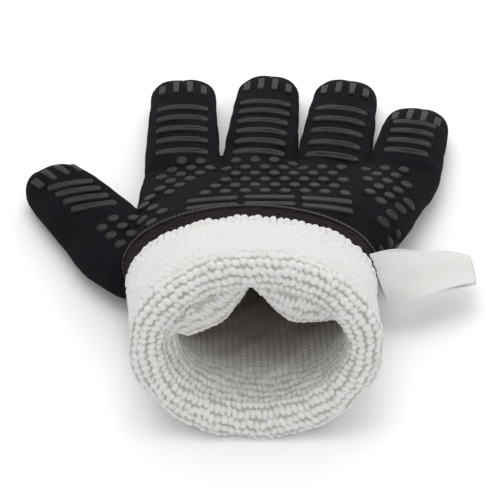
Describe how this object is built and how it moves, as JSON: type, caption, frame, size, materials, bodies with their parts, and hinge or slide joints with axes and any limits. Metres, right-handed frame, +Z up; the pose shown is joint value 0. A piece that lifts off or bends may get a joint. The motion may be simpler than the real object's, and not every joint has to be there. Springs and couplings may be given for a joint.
{
  "type": "heat resistant glove",
  "caption": "Knitted heat resistant glove lying palm up, with silicone grips, a thick white liner, a turned-back cuff and a tape hanging loop.",
  "frame": {"origin": "on the resting plane, under the middle of the hand, on the thumb-to-little-finger middle line of the cuff's hem", "axes": "+Y along the hand to the fingertips, +Z up from the back of the hand to the palm, +X to the little finger's side"},
  "size_m": [0.2055, 0.2429, 0.0728],
  "materials": {
    "shell_knit": "matt black ribbed knit",
    "liner_knit": "thick off-white cotton knit",
    "hem_knit": "brown-black purl knit",
    "overlock_thread": "black overlocked thread",
    "silicone": "dark grey satin silicone",
    "tape": "white herringbone twill tape"
  },
  "bodies": {
    "hand": {"shell_hand": "shell_knit", "shell_thumb_root": "shell_knit", "liner_hand": "liner_knit", "liner_thumb_root": "liner_knit", "liner_cuff_turned": "liner_knit", "shell_cuff_turned": "shell_knit", "liner_cuff_fold": "liner_knit", "hem_band": "hem_knit", "hem_overlock": "overlock_thread", "grip_dots_index_mound": "silicone", "grip_dots_palm_centre": "silicone", "grip_dots_little_mound": "silicone", "grip_dots_thumb_mound": "silicone", "grip_bars_palm": "silicone", "hang_loop_tab": "tape"},
    "thumb": {"shell_thumb": "shell_knit", "liner_thumb": "liner_knit", "grip_bars_thumb": "silicone", "grip_tip_thumb": "silicone"},
    "index": {"shell_index": "shell_knit", "liner_index": "liner_knit", "grip_bars_index": "silicone", "grip_tip_index": "silicone"},
    "middle": {"shell_middle": "shell_knit", "liner_middle": "liner_knit", "grip_bars_middle": "silicone", "grip_tip_middle": "silicone"},
    "ring": {"shell_ring": "shell_knit", "liner_ring": "liner_knit", "grip_bars_ring": "silicone", "grip_tip_ring": "silicone"},
    "little": {"shell_little": "shell_knit", "liner_little": "liner_knit", "grip_bars_little": "silicone", "grip_tip_little": "silicone"},
    "loop": {"hang_loop": "tape"}
  },
  "joints": [
    {"name": "thumb_flex", "type": "hinge", "parent": "hand", "child": "thumb", "pos_m": [-0.065, 0.034, 0.0195], "axis": [0.8192, 0.5736, 0], "range_deg": [-5, 60]},
    {"name": "index_flex", "type": "hinge", "parent": "hand", "child": "index", "pos_m": [-0.0315, 0.077, 0.0195], "axis": [0.9997, 0.0262, 0], "range_deg": [-10, 80]},
    {"name": "middle_flex", "type": "hinge", "parent": "hand", "child": "middle", "pos_m": [0.0038, 0.077, 0.0195], "axis": [0.9969, -0.0785, 0], "range_deg": [-10, 80]},
    {"name": "ring_flex", "type": "hinge", "parent": "hand", "child": "ring", "pos_m": [0.038, 0.077, 0.0195], "axis": [0.989, -0.1478, 0], "range_deg": [-10, 80]},
    {"name": "little_flex", "type": "hinge", "parent": "hand", "child": "little", "pos_m": [0.0717, 0.077, 0.0195], "axis": [0.9724, -0.2334, 0], "range_deg": [-10, 80]},
    {"name": "loop_swing", "type": "hinge", "parent": "hand", "child": "loop", "pos_m": [0.05619, -0.01135, 0.028], "axis": [0.2079, 0, 0.9781], "range_deg": [-30, 30], "stiffness_Nm_per_rad": 0.002}
  ]
}
